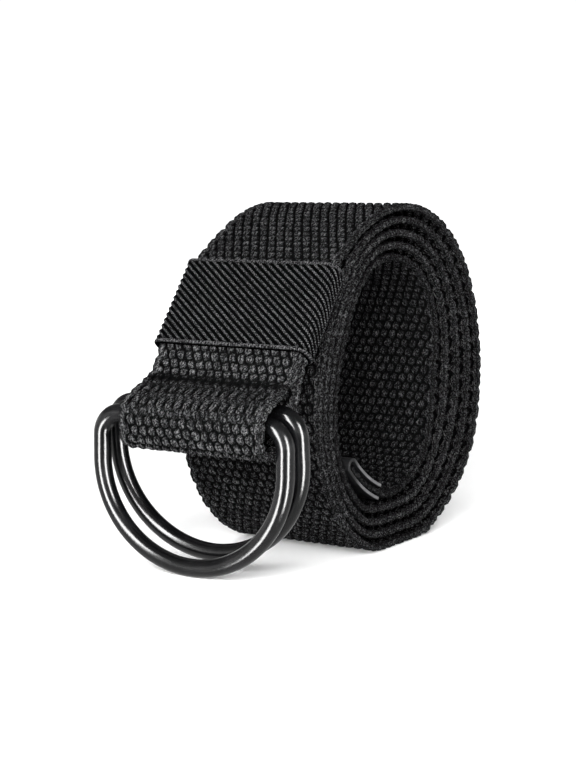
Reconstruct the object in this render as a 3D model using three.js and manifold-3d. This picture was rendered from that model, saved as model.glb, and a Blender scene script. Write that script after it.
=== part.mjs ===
// A web belt with two D-rings, rolled up and standing on the rim of the roll.
// Millimetres, +Z up. The roll's axis lies along Y, the rings hang on its -X side,
// and the origin is on the floor under the roll, half way along its width.

import * as THREE from 'three';
import { mergeVertices } from 'three/addons/utils/BufferGeometryUtils.js';
import Module from 'manifold-3d';

const wasm = await Module();
wasm.setup();

// The webbing. selvage: how much is cut off its section's corners.
const STRAP = { width: 38, thickness: 1.9, selvage: 0.5 };
// Between the band, the tail and the fold
const LAYER_GAP = 0.25;

// The roll in side view. Directions are degrees above +X, seen from the roll's axis.
// The table has a row every ROLL_STEP degrees, clockwise from ROLL_FIRST, for one whole turn.
// outer: from the axis to the outermost wrap's outer face
// pitch: from one wrap to the next
// lift: extra room under the outermost wrap, which the folded end keeps open
const ROLL_AXIS = new THREE.Vector3(3.3, 0, 40.3);
const ROLL_FIRST = 150;
const ROLL_STEP = 30;
const ROLL = [
  { outer: 39.6, pitch: 2.15, lift: 2.0 },
  { outer: 39.65, pitch: 2.15, lift: 0.65 },
  { outer: 40.0, pitch: 3.0, lift: 0 },
  { outer: 40.3, pitch: 4.0, lift: 0 },
  { outer: 39.9, pitch: 5.0, lift: 0 },
  { outer: 40.0, pitch: 5.8, lift: 0 },
  { outer: 41.8, pitch: 5.9, lift: 0 },
  { outer: 41.5, pitch: 4.4, lift: 0 },
  { outer: 41.6, pitch: 3.05, lift: 0 },
  { outer: 41.9, pitch: 2.4, lift: 0 },
  { outer: 40.0, pitch: 2.12, lift: 0 },
  { outer: 37.0, pitch: 2.25, lift: 0 },
];
// Degrees along the strap from the table's first row: the first and last section of the roll
// and the step between two, and the turn at which the strap passes the top
const TURN = { first: 30, last: 4 * 360 + 204, step: 6, top: 60 };
// Over the floor the wraps are pressed flat, one on another
const FLAT = { pitch: 3, blend: 0.8, blendPerWrap: 0.5 };
// The free end leaves the innermost wrap and crosses the hollow of the roll to the tip
const INNER_END = [
  { x: 13.2, z: 19.2 },
  { x: 9.0, z: 16.3 },
  { x: 4.3, z: 14.2 },
  { x: 0, z: 13.05 },
  { x: -4.3, z: 13.0 },
];
// The metal tip, a plate folded over the free end, and the arc in which both of them rise:
// x, z: the middle of the tip's mouth; slope: degrees above level there, towards -X
const TIP = { length: 16.25, width: 38.6, plate: 0.75, gap: 0.2 };
const TIP_ARC = { x: -8.4, z: 14.3, slope: 21, radius: 35 };

// The sewn end: the strap's tail comes off the roll and runs straight down to the loop, and
// its folded end lies behind it. n is measured from the roll's axis, square to the tail;
// s runs down along the tail from the point nearest the axis.
const TAIL_DIRECTION = 143;
const BAND = { back: 36.2, wall: 0.9, from: -2.8, to: 19.7, corner: 1.5 };
const BAND_SELVAGE = { length: 1.1, rise: 0.2, round: 0.3 };
const FOLD_N = BAND.back + BAND.wall + LAYER_GAP + STRAP.thickness / 2;
const TAIL_N = FOLD_N + STRAP.thickness + LAYER_GAP;
// pinch: how far the stitches draw each layer towards the roll
const FOLD = [
  { s: 2, pinch: 0 },
  { s: 10, pinch: 0 },
  { s: 17.5, pinch: 0 },
  { s: 21.5, pinch: 0.65 },
  { s: 25, pinch: 1.4 },
];
const TAIL = [
  { s: 25, pinch: 1.1 },
  { s: 21.8, pinch: 0.55 },
  { s: 18.5, pinch: 0.15 },
  { s: 12, pinch: 0 },
  { s: 6, pinch: 0 },
  { s: 0, pinch: 0 },
  { s: -6.2, pinch: 1.2 },
];

// The rings are of one size and hang by their bars in the loop of the strap.
// halfWidth and height run to the wire's middle; the bow is half an ellipse.
const RING = { wire: 4, halfWidth: 24.5, height: 32.6, bowRise: 22.6, corner: 5 };
// x, z: the middle of the bar; lean: degrees from hanging straight down, towards +X
const RINGS = [
  { name: 'd_ring_front', x: -49.8, y: 3.8, z: RING.height + RING.wire / 2, lean: -1.3 },
  { name: 'd_ring_rear', x: -45.85, y: 3.1, z: 36.7, lean: 4.5 },
];
// The strap's middle round the bars, from the back over the bottom to the front
const LOOP = [
  { x: -42.2, z: 39.5 },
  { x: -42.5, z: 35.6 },
  { x: -43.4, z: 31.6 },
  { x: -45.8, z: 28.8 },
  { x: -49.0, z: 27.9 },
  { x: -52.1, z: 28.4 },
  { x: -53.75, z: 30.4 },
  { x: -54.0, z: 34.2 },
  { x: -53.3, z: 36.9 },
  { x: -50.9, z: 39.0 },
  { x: -47.2, z: 41.1 },
];
// The rings draw the loop sideways, towards +Y, as it goes down from one s to the other
const DRAWN = { aside: 1.0, from: 26, to: 37 };

const RAD = THREE.MathUtils.DEG2RAD;
const Y_AXIS = new THREE.Vector3(0, 1, 0);

// A point in the plane of the roll's side view
function at({ x, z }) {
  return new THREE.Vector3(x, 0, z);
}

// A direction in that plane, in degrees above +X
function heading(degrees) {
  return new THREE.Vector3(Math.cos(degrees * RAD), 0, Math.sin(degrees * RAD));
}

const tailOut = heading(TAIL_DIRECTION);
const tailDown = heading(TAIL_DIRECTION + 90);

function onTail(n, s) {
  return ROLL_AXIS.clone().addScaledVector(tailOut, n).addScaledVector(tailDown, s);
}

// A smooth curve through a few places, as a run of points
function smooth(places, steps) {
  const curve = new THREE.CatmullRomCurve3(places, false, 'catmullrom', 0.5);
  return curve.getPoints((places.length - 1) * steps);
}

// Radius of the strap's middle at a row of the roll's table, counted on from turn to turn
function rowRadius(row) {
  if (row < ROLL.length) return ROLL[Math.max(row, 0)].outer - STRAP.thickness / 2;
  const { pitch, lift } = ROLL[row % ROLL.length];
  return rowRadius(row - ROLL.length) - pitch - (row < 2 * ROLL.length ? lift : 0);
}

// The strap's middle after a turn, in degrees, from the direction of the table's first row
function onRoll(turn) {
  const row = Math.floor(turn / ROLL_STEP);
  const [a, b, c, d] = [-1, 0, 1, 2].map((k) => rowRadius(row + k));
  const u = turn / ROLL_STEP - row;
  const bend = (2 * a - 5 * b + 4 * c - d) * u + (3 * b - a - 3 * c + d) * u * u;
  const radius = b + 0.5 * u * (c - a + bend);
  const point = ROLL_AXIS.clone().addScaledVector(heading(ROLL_FIRST - turn), radius);
  const wrap = Math.max(Math.floor((turn - TURN.top) / 360), 0);
  const blend = FLAT.blend + wrap * FLAT.blendPerWrap;
  const lowest = STRAP.thickness / 2 + wrap * FLAT.pitch;
  const over = THREE.MathUtils.clamp(point.z - lowest, -blend, blend);
  point.z = Math.max(point.z, lowest + blend) - blend + (over + blend) ** 2 / (4 * blend);
  return point;
}

const TIP_OUTSIDE = STRAP.thickness / 2 + TIP.gap + TIP.plate;
const TIP_BEND = (TIP.length - TIP_OUTSIDE) / TIP_ARC.radius / RAD;
const TIP_START = 270 - TIP_ARC.slope;
const tipCentre = at(TIP_ARC).addScaledVector(heading(TIP_START), -TIP_ARC.radius);

// The strap's middle inside the tip, some degrees along the arc from the mouth
function onTip(degrees) {
  return tipCentre.clone().addScaledVector(heading(TIP_START - degrees), TIP_ARC.radius);
}

// The strap's middle line: folded end, loop, tail, wraps of the roll and free end.
// Its sections follow these points, which lie closer together where the strap bends more.
class StrapLine extends THREE.CatmullRomCurve3 {
  getUtoTmapping(u) {
    return u;
  }

  // The strap's width stays along Y, also where the strap is drawn sideways
  computeFrenetFrames(segments) {
    const tangents = [];
    for (let i = 0; i <= segments; i++) {
      tangents.push(this.getTangentAt(i / segments).setY(0).normalize());
    }
    const normals = tangents.map(() => Y_AXIS.clone().negate());
    const binormals = tangents.map((tangent, i) => tangent.clone().cross(normals[i]));
    return { tangents, normals, binormals };
  }
}

// Moves a place of the sewn end sideways with the loop
function drawnAside(place) {
  const s = place.clone().sub(ROLL_AXIS).dot(tailDown);
  return place.setY(DRAWN.aside * THREE.MathUtils.smoothstep(s, DRAWN.from, DRAWN.to));
}

function strapLine() {
  const fold = FOLD.map(({ s, pinch }) => onTail(FOLD_N - pinch, s));
  const tail = TAIL.map(({ s, pinch }) => onTail(TAIL_N - pinch, s));
  const wraps = [];
  for (let turn = TURN.first; turn <= TURN.last; turn += TURN.step) wraps.push(onRoll(turn));
  const tipEnd = [0, 1 / 3, 2 / 3, 1].map((part) => onTip(part * TIP_BEND));
  // Each end shares two places with the roll, so that it leaves the roll without a bend
  const sewn = [...fold, ...LOOP.map(at), ...tail].map(drawnAside);
  const sewnEnd = smooth([...sewn, ...wraps.slice(0, 2)], 3);
  const freeEnd = smooth([...wraps.slice(-2), ...INNER_END.map(at), ...tipEnd], 3);
  const points = [...sewnEnd.slice(0, -4), ...wraps, ...freeEnd.slice(4)];
  return new StrapLine(points, false, 'catmullrom', 0.5);
}

// A rectangle with its corners cut off, centred
function chamferedRectangle(width, height, cut) {
  const [x, y] = [width / 2, height / 2];
  return new THREE.Shape([
    new THREE.Vector2(x - cut, -y),
    new THREE.Vector2(x, -y + cut),
    new THREE.Vector2(x, y - cut),
    new THREE.Vector2(x - cut, y),
    new THREE.Vector2(-x + cut, y),
    new THREE.Vector2(-x, y - cut),
    new THREE.Vector2(-x, -y + cut),
    new THREE.Vector2(-x + cut, -y),
  ]);
}

function strapGeometry(line) {
  const section = chamferedRectangle(STRAP.width, STRAP.thickness, STRAP.selvage);
  return new THREE.ExtrudeGeometry(section, {
    steps: line.points.length - 1,
    bevelEnabled: false,
    extrudePath: line,
  });
}

// A rectangle with round corners, between two places along x and centred along y
function roundedRectangle(Form, x0, x1, halfWidth, radius) {
  const form = new Form();
  form.moveTo(x0 + radius, -halfWidth);
  form.lineTo(x1 - radius, -halfWidth);
  form.absarc(x1 - radius, -halfWidth + radius, radius, -Math.PI / 2, 0);
  form.lineTo(x1, halfWidth - radius);
  form.absarc(x1 - radius, halfWidth - radius, radius, 0, Math.PI / 2);
  form.lineTo(x0 + radius, halfWidth);
  form.absarc(x0 + radius, halfWidth - radius, radius, Math.PI / 2, Math.PI);
  form.lineTo(x0, -halfWidth + radius);
  form.absarc(x0 + radius, -halfWidth + radius, radius, Math.PI, Math.PI * 1.5);
  return form;
}

// A stretch of the band. Its inside is always the same; rise makes it thicker outwards and
// round breaks the edges of its two ends.
function bandSleeve(from, to, rise, round) {
  const inside = STRAP.width / 2 + LAYER_GAP;
  const [x0, x1] = [BAND.back, TAIL_N + STRAP.thickness / 2 + LAYER_GAP + BAND.wall];
  const out = BAND.wall + rise;
  const shape = roundedRectangle(THREE.Shape, x0 - rise, x1 + rise, inside + out, BAND.corner + rise);
  const innerCorner = BAND.corner - BAND.wall;
  shape.holes.push(roundedRectangle(THREE.Path, x0 + BAND.wall, x1 - BAND.wall, inside, innerCorner));
  const geometry = new THREE.ExtrudeGeometry(shape, {
    depth: to - from - 2 * round,
    curveSegments: 4,
    bevelEnabled: round > 0,
    bevelThickness: round,
    bevelSize: round,
    bevelOffset: -round,
    bevelSegments: 1,
  });
  return geometry.translate(0, 0, from + round);
}

function solid(geometry) {
  const bare = geometry.deleteAttribute('normal').deleteAttribute('uv');
  const merged = mergeVertices(bare, 1e-4);
  return new wasm.Manifold(new wasm.Mesh({
    numProp: 3,
    vertProperties: merged.attributes.position.array,
    triVerts: new Uint32Array(merged.index.array),
  }));
}

function fromSolid(joined) {
  const { vertProperties, triVerts } = joined.getMesh();
  const geometry = new THREE.BufferGeometry();
  geometry.setAttribute('position', new THREE.BufferAttribute(vertProperties, 3));
  geometry.setIndex(new THREE.BufferAttribute(triVerts, 1));
  geometry.computeVertexNormals();
  return geometry;
}

function bandGeometry() {
  const { length, rise, round } = BAND_SELVAGE;
  return fromSolid(
    solid(bandSleeve(BAND.from + length / 2, BAND.to - length / 2, 0, 0))
      .add(solid(bandSleeve(BAND.from, BAND.from + length, rise, round)))
      .add(solid(bandSleeve(BAND.to - length, BAND.to, rise, round))),
  );
}

// The wire's middle line in a ring's own plane: the bar lies along x at height 0
function ringOutline() {
  const { halfWidth, height, bowRise, corner } = RING;
  const bowAt = bowRise - height;
  const bar = halfWidth - corner;
  const path = new THREE.Path();
  path.moveTo(-bar, 0);
  path.lineTo(bar, 0);
  path.absarc(bar, -corner, corner, Math.PI / 2, 0, true);
  path.lineTo(halfWidth, bowAt);
  path.absellipse(0, bowAt, halfWidth, bowRise, 0, -Math.PI, true);
  path.lineTo(-halfWidth, -corner);
  path.absarc(-bar, -corner, corner, Math.PI, Math.PI / 2, true);
  return path;
}

// A round wire that closes on itself: sides faces round it, steps sections along it
function closedWire(path, radius, steps, sides) {
  const middle = path.getSpacedPoints(steps).slice(0, steps);
  const positions = [];
  const faces = [];
  middle.forEach((point, i) => {
    const before = middle[(i + steps - 1) % steps];
    const along = middle[(i + 1) % steps].clone().sub(before).normalize();
    for (let k = 0; k < sides; k++) {
      const angle = (2 * Math.PI * (k + 0.5)) / sides;
      const across = radius * Math.cos(angle);
      positions.push(radius * Math.sin(angle), point.x - along.y * across, point.y + along.x * across);
      const next = (k + 1) % sides;
      const [a, b] = [i * sides, ((i + 1) % steps) * sides];
      faces.push(a + k, a + next, b + k, a + next, b + next, b + k);
    }
  });
  const geometry = new THREE.BufferGeometry();
  geometry.setAttribute('position', new THREE.Float32BufferAttribute(positions, 3));
  geometry.setIndex(faces);
  geometry.computeVertexNormals();
  return geometry;
}

// The tip in side view about the centre of its arc: open at the mouth, closed round the end
function tipGeometry() {
  const { radius } = TIP_ARC;
  const outside = TIP_OUTSIDE;
  const inside = outside - TIP.plate;
  const [mouth, end] = [TIP_START * RAD, (TIP_START - TIP_BEND) * RAD];
  const [x, y] = [radius * Math.cos(end), radius * Math.sin(end)];
  const shape = new THREE.Shape();
  shape.absarc(0, 0, radius + outside, mouth, end, true);
  shape.absarc(x, y, outside, end, end - Math.PI, true);
  shape.absarc(0, 0, radius - outside, end, mouth, false);
  shape.absarc(0, 0, radius - inside, mouth, end, true);
  shape.absarc(x, y, inside, end - Math.PI, end, false);
  shape.absarc(0, 0, radius + inside, end, mouth, false);
  const geometry = new THREE.ExtrudeGeometry(shape, {
    depth: TIP.width,
    curveSegments: 12,
    bevelEnabled: false,
  });
  return geometry.translate(0, 0, -TIP.width / 2).rotateX(Math.PI / 2);
}

function addMesh(parent, name, geometry, material) {
  const mesh = new THREE.Mesh(geometry, material);
  mesh.name = name;
  parent.add(mesh);
  return mesh;
}

const cotton = new THREE.MeshStandardMaterial({ color: 0x17171a, roughness: 0.95, metalness: 0 });
const elastic = new THREE.MeshStandardMaterial({ color: 0x141416, roughness: 0.8, metalness: 0 });
const enamel = new THREE.MeshStandardMaterial({ color: 0x1a1a1c, roughness: 0.22, metalness: 0.7 });
const darkMetal = new THREE.MeshStandardMaterial({ color: 0x2a2a2c, roughness: 0.4, metalness: 0.8 });

const belt = new THREE.Group();

const line = strapLine();
addMesh(belt, 'belt_webbing', strapGeometry(line), cotton);

const band = addMesh(belt, 'elastic_band', bandGeometry(), elastic);
band.position.copy(ROLL_AXIS);
band.setRotationFromMatrix(new THREE.Matrix4().makeBasis(tailOut, Y_AXIS, tailDown));

for (const { name, x, y, z, lean } of RINGS) {
  const wire = closedWire(ringOutline(), RING.wire / 2, 76, 12);
  const ring = addMesh(belt, name, wire, enamel);
  ring.position.set(x, y, z);
  ring.rotation.y = -lean * RAD;
}

const tip = addMesh(belt, 'end_tip', tipGeometry(), darkMetal);
tip.position.copy(tipCentre);

export default belt;
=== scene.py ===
"""A web belt with two D-rings, rolled up and standing on the rim of the roll.

Metres, +Z up. The roll's axis lies along Y and the rings hang on its -X side. Flat work is
made with x along the strap, y across it and z off its face, and is then bent onto its line.
"""

import math
from collections import namedtuple

import bmesh
import bpy
import numpy as np
from mathutils import Matrix, Vector


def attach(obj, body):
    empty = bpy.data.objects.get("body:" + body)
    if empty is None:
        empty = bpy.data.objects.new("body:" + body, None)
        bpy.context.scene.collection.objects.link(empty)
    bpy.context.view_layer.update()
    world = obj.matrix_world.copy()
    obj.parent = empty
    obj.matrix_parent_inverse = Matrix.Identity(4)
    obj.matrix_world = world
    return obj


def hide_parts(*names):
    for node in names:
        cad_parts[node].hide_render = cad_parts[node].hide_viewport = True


bl_info = {
    "name": "D-ring web belt",
    "version": (1, 0, 0),
    "blender": (4, 5, 0),
    "location": "3D View > Sidebar > Belt",
    "description": "Builds a rolled web belt with two D-rings and a plain stage",
    "category": "Object",
}

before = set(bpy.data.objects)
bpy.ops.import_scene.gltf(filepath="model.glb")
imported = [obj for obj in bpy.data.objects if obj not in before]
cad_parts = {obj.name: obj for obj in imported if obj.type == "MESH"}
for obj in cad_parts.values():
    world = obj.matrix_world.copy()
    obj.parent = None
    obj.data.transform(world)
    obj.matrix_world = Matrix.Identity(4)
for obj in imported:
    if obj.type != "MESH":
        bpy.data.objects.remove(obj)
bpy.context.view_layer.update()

# The strap
WIDTH = 0.038
THICKNESS = 0.0019
LAYER_GAP = 0.00025

# The roll in side view, from its axis. Directions are degrees above +X. A row stands every
# ROLL_STEP degrees, clockwise from ROLL_FIRST, for one whole turn: the roll's radius, the step in
# to each next wrap, and how much wider that step is under the outermost wrap.
ROLL_AXIS = np.array((0.0033, 0.0403))
ROLL_FIRST = 150
ROLL_STEP = 30
RollRow = namedtuple("RollRow", "outer pitch lift", defaults=(0,))
ROLL = (
    RollRow(outer=0.0396, pitch=0.00215, lift=0.0020),
    RollRow(outer=0.03965, pitch=0.00215, lift=0.00065),
    RollRow(outer=0.0400, pitch=0.0030),
    RollRow(outer=0.0403, pitch=0.0040),
    RollRow(outer=0.0399, pitch=0.0050),
    RollRow(outer=0.0400, pitch=0.0058),
    RollRow(outer=0.0418, pitch=0.0059),
    RollRow(outer=0.0415, pitch=0.0044),
    RollRow(outer=0.0416, pitch=0.00305),
    RollRow(outer=0.0419, pitch=0.0024),
    RollRow(outer=0.0400, pitch=0.00212),
    RollRow(outer=0.0370, pitch=0.00225),
)
# Degrees along the strap from the first row
TURN_FIRST = 30
TURN_LAST = 4 * 360 + 204
TURN_STEP = 6
TURN_TOP = 60
# Over the floor the wraps are pressed flat, one on another
FLAT_PITCH = 0.0030
FLAT_BLEND = 0.0008
FLAT_BLEND_PER_WRAP = 0.0005
# The free end crosses the hollow of the roll to the tip, in which it rises in an arc
INNER_END = ((0.0132, 0.0192), (0.0090, 0.0163), (0.0043, 0.0142), (0, 0.01305), (-0.0043, 0.0130))
TIP_MOUTH = np.array((-0.0084, 0.0143))
TIP_SLOPE = 21
TIP_RADIUS = 0.035
TIP_LENGTH = 0.01625
TIP_PLATE = 0.00075
TIP_GAP = 0.0002

# The sewn end. n is measured from the roll's axis, square to the tail; s runs down along the
# tail. pinch is how far the stitches draw a layer towards the roll.
TAIL_DIRECTION = 143
BAND_BACK = 0.0362
BAND_WALL = 0.0009
BAND_FROM = -0.0028
BAND_TO = 0.0197
FOLD_N = BAND_BACK + BAND_WALL + LAYER_GAP + THICKNESS / 2
TAIL_N = FOLD_N + THICKNESS + LAYER_GAP
BAND_FRONT = TAIL_N + THICKNESS / 2 + LAYER_GAP + BAND_WALL
SewnRow = namedtuple("SewnRow", "s pinch", defaults=(0,))
FOLD = (
    SewnRow(s=0.0020),
    SewnRow(s=0.0100),
    SewnRow(s=0.0175),
    SewnRow(s=0.0215, pinch=0.00065),
    SewnRow(s=0.0250, pinch=0.0014),
)
TAIL = (
    SewnRow(s=0.0250, pinch=0.0011),
    SewnRow(s=0.0218, pinch=0.00055),
    SewnRow(s=0.0185, pinch=0.00015),
    SewnRow(s=0.0120),
    SewnRow(s=0.0060),
    SewnRow(s=0),
    SewnRow(s=-0.0062, pinch=0.0012),
)
# The strap's middle round the ring bars, from the back over the bottom to the front
LOOP = (
    (-0.0422, 0.0395), (-0.0425, 0.0356), (-0.0434, 0.0316), (-0.0458, 0.0288),
    (-0.0490, 0.0279), (-0.0521, 0.0284), (-0.05375, 0.0304), (-0.0540, 0.0342),
    (-0.0533, 0.0369), (-0.0509, 0.0390), (-0.0472, 0.0411),
)
# The rings draw the loop sideways, towards +Y, as it goes down from one s to the other
DRAWN_ASIDE = 0.0010
DRAWN_FROM = 0.0260
DRAWN_TO = 0.0370

# The middle of each ring's bar; lean is in degrees from hanging straight down, towards +X
RingPlace = namedtuple("RingPlace", "node body bar lean")
RINGS = (
    RingPlace(node="d_ring_front", body="front_ring", bar=(-0.0498, 0.0038, 0.0346), lean=-1.3),
    RingPlace(node="d_ring_rear", body="rear_ring", bar=(-0.04585, 0.0031, 0.0367), lean=4.5),
)

# The camera, at the photograph's angle
EYE = (-0.34175, -0.21315, 0.08734)
LOOK = (0.8293, 0.5450, -0.1235)
CAMERA_ROLL = -0.235
FOCAL_PIXELS = 1700
FRAME_HEIGHT = 768

SoftBox = namedtuple("SoftBox", "name place size watts")
SOFT_BOXES = (
    SoftBox("left soft box", place=(-0.55, 0.55, 0.55), size=(0.5, 0.8), watts=2.0),
    SoftBox("right soft box", place=(-0.35, -0.75, 0.45), size=(0.4, 0.8), watts=2.0),
    SoftBox("front soft box", place=(-0.33, -0.13, 0.17), size=(0.25, 0.2), watts=3.2),
    SoftBox("top soft box", place=(-0.05, 0.0, 0.9), size=(0.9, 0.7), watts=1.1),
    SoftBox("back soft box", place=(0.55, 0.35, 0.50), size=(0.5, 0.6), watts=3.5),
)
# Directions of the tall strips from the front ring, in degrees from +X towards +Y
STRIPS = (("left strip", 168), ("right strip", 249))
STRIP_AWAY = 0.8
STRIP_SIZE = (0.30, 1.2)
STRIP_WATTS = 42
# Strength of the sky near the horizon and overhead, and of what gloss sees below the horizon, at
# the sides and straight towards the camera
SKY_LOW, SKY_HIGH = 1.05, 0.19
BELOW_ASIDE, BELOW_AHEAD = 0.75, 0.03
# The floor's own glow under the belt. Far out it is 1
FLOOR_GLOW = 0.14

WHITE = (1, 1, 1, 1)
BLACK = (0, 0, 0, 1)


def heading(degrees):
    """A direction in a plane, in degrees from its first axis towards its second."""
    angle = math.radians(degrees)
    return np.array((math.cos(angle), math.sin(angle)))


TAIL_OUT = heading(TAIL_DIRECTION)
TAIL_DOWN = heading(TAIL_DIRECTION + 90)


def on_tail(n, s):
    return ROLL_AXIS + n * TAIL_OUT + s * TAIL_DOWN


def spline(a, b, c, d, u):
    """The smooth curve from b to c that comes from a and goes on to d."""
    bend = (2 * a - 5 * b + 4 * c - d) * u + (3 * b - a - 3 * c + d) * u * u
    return b + 0.5 * u * (c - a + bend)


def smooth(places, steps):
    """A smooth curve through a few places, as a run of points."""
    places = np.array(places)
    before, after = 2 * places[0] - places[1], 2 * places[-1] - places[-2]
    rows = np.vstack((before, places, after))
    u = np.arange(steps)[:, None] / steps
    spans = [spline(*rows[i : i + 4], u) for i in range(len(places) - 1)]
    return np.vstack((*spans, places[-1]))


def row_radius(row):
    """Radius of the strap's middle at a row of the roll's table, counted on from turn to turn."""
    if row < len(ROLL):
        return ROLL[max(row, 0)].outer - THICKNESS / 2
    here = ROLL[row % len(ROLL)]
    lift = here.lift if row < 2 * len(ROLL) else 0
    return row_radius(row - len(ROLL)) - here.pitch - lift


def on_roll(turn):
    """The strap's middle after a turn, in degrees, from the direction of the first row."""
    row = turn // ROLL_STEP
    radius = spline(*(row_radius(row + k) for k in (-1, 0, 1, 2)), turn / ROLL_STEP - row)
    x, z = ROLL_AXIS + radius * heading(ROLL_FIRST - turn)
    wrap = max((turn - TURN_TOP) // 360, 0)
    blend = FLAT_BLEND + wrap * FLAT_BLEND_PER_WRAP
    lowest = THICKNESS / 2 + wrap * FLAT_PITCH
    over = min(max(z - lowest, -blend), blend)
    return x, max(z, lowest + blend) - blend + (over + blend) ** 2 / (4 * blend)


TIP_OUTSIDE = THICKNESS / 2 + TIP_GAP + TIP_PLATE
TIP_BEND = math.degrees((TIP_LENGTH - TIP_OUTSIDE) / TIP_RADIUS)
TIP_START = 270 - TIP_SLOPE
TIP_CENTRE = TIP_MOUTH - TIP_RADIUS * heading(TIP_START)


def on_tip(degrees):
    """The strap's middle inside the tip, some degrees along the arc from the mouth."""
    return TIP_CENTRE + TIP_RADIUS * heading(TIP_START - degrees)


def drawn_aside(place):
    """A place of the sewn end, moved sideways with the loop."""
    x, z = place
    s = (np.array(place) - ROLL_AXIS) @ TAIL_DOWN
    part = min(max((s - DRAWN_FROM) / (DRAWN_TO - DRAWN_FROM), 0), 1)
    return x, DRAWN_ASIDE * part * part * (3 - 2 * part), z


def strap_places():
    """The strap's middle line: folded end, loop, tail, wraps of the roll and free end."""
    fold = [on_tail(FOLD_N - row.pinch, row.s) for row in FOLD]
    tail = [on_tail(TAIL_N - row.pinch, row.s) for row in TAIL]
    wraps = [on_roll(turn) for turn in range(TURN_FIRST, TURN_LAST + 1, TURN_STEP)]
    tip_end = [on_tip(part * TIP_BEND / 3) for part in range(4)]
    sewn = [drawn_aside(place) for place in (*fold, *LOOP, *tail)]
    wraps = [(x, 0, z) for x, z in wraps]
    inner = [(x, 0, z) for x, z in (*INNER_END, *tip_end)]
    sewn_end = smooth([*sewn, *wraps[:2]], 3)
    free_end = smooth([*wraps[-2:], *inner], 3)
    return np.vstack((sewn_end[:-4], wraps, free_end[4:]))


def distances(points):
    """How far along a run of points in a plane each of them lies."""
    return np.concatenate(((0,), np.cumsum(np.hypot(*np.diff(points, axis=0).T))))


class StrapLine:
    """The strap's middle line, onto which flat work is bent. The strap's width stays along Y."""

    def __init__(self, places, closer):
        self.points = smooth(places, closer)
        in_view = self.points[:, (0, 2)]
        self.along = distances(in_view)
        self.length = self.along[-1]
        slope = np.gradient(in_view, self.along, axis=0)
        slope /= np.hypot(*slope.T)[:, None]
        self.off = np.stack((-slope[:, 1], slope[:, 0]), axis=1)

    def bend(self, flat):
        """Places of flat work on the line: x along it, y across the strap, z off its face."""
        x, y, z = flat.T
        on = [np.interp(x, self.along, axis) for axis in self.points.T]
        off = [np.interp(x, self.along, axis) for axis in self.off.T]
        return np.stack((on[0] + z * off[0], on[1] + y, on[2] + z * off[1]), axis=1)

    def nearest(self, place, first=0.0):
        """How far along the line, past the first stretch, it comes closest to a place."""
        away = np.hypot(*(self.points[:, (0, 2)] - place).T)
        return self.along[np.argmin(np.where(self.along >= first, away, np.inf))]


STRAP_LINE = StrapLine(strap_places(), 6)


def get_places(mesh):
    places = np.empty(len(mesh.vertices) * 3, np.float32)
    mesh.vertices.foreach_get("co", places)
    return places.reshape(-1, 3).astype(float)


def set_places(mesh, places):
    mesh.vertices.foreach_set("co", np.ascontiguousarray(places, np.float32).ravel())
    mesh.update()


def write_attribute(mesh, name, values):
    """Keeps three numbers at each vertex, for the materials to read."""
    layer = mesh.attributes.new(name, "FLOAT_VECTOR", "POINT")
    layer.data.foreach_set("vector", np.ascontiguousarray(values, np.float32).ravel())


def shown(name, bm, material):
    """Makes a bmesh an object of the scene."""
    mesh = bpy.data.meshes.new(name)
    bm.to_mesh(mesh)
    bm.free()
    mesh.shade_smooth()
    mesh.materials.append(material)
    piece = bpy.data.objects.new(name, mesh)
    bpy.context.scene.collection.objects.link(piece)
    return piece


def finished(piece):
    """The piece with its modifiers applied."""
    evaluated = piece.evaluated_get(bpy.context.evaluated_depsgraph_get())
    rough = piece.data
    piece.data = bpy.data.meshes.new_from_object(evaluated)
    piece.data.name = piece.name
    piece.modifiers.clear()
    bpy.data.meshes.remove(rough)
    return piece


def modify(piece, name, kind, **settings):
    """Adds a modifier to the piece."""
    modifier = piece.modifiers.new(name, kind)
    for setting, value in settings.items():
        setattr(modifier, setting, value)


def repeat(piece, count, step):
    """Copies of the piece in a row, each joined to the one before where they meet."""
    modify(
        piece, "row", "ARRAY", use_relative_offset=False, use_constant_offset=True,
        constant_offset_displace=step, count=count, use_merge_vertices=True, merge_threshold=1e-6,
    )


def fit(piece, body, slot, *nodes):
    """Says what the piece rides on and hides the nodes that it stands for; its material slot is not
    used.
    """
    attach(piece, body)
    if nodes:
        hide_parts(*nodes)


class Value:
    """A number that varies over a surface. Python's operators make new nodes from it."""

    def __init__(self, finish, socket):
        self.finish = finish
        self.socket = socket

    def __add__(self, other):
        return self.finish.math("ADD", self, other)

    def __sub__(self, other):
        return self.finish.math("SUBTRACT", self, other)

    def __rsub__(self, other):
        return self.finish.math("SUBTRACT", other, self)

    def __mul__(self, other):
        return self.finish.math("MULTIPLY", self, other)

    def __abs__(self):
        return self.finish.math("ABSOLUTE", self)

    def sine(self):
        return self.finish.math("SINE", self)

    def floor(self):
        return self.finish.math("FLOOR", self)

    def or_more(self, other):
        return self.finish.math("MAXIMUM", self, other)


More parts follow.
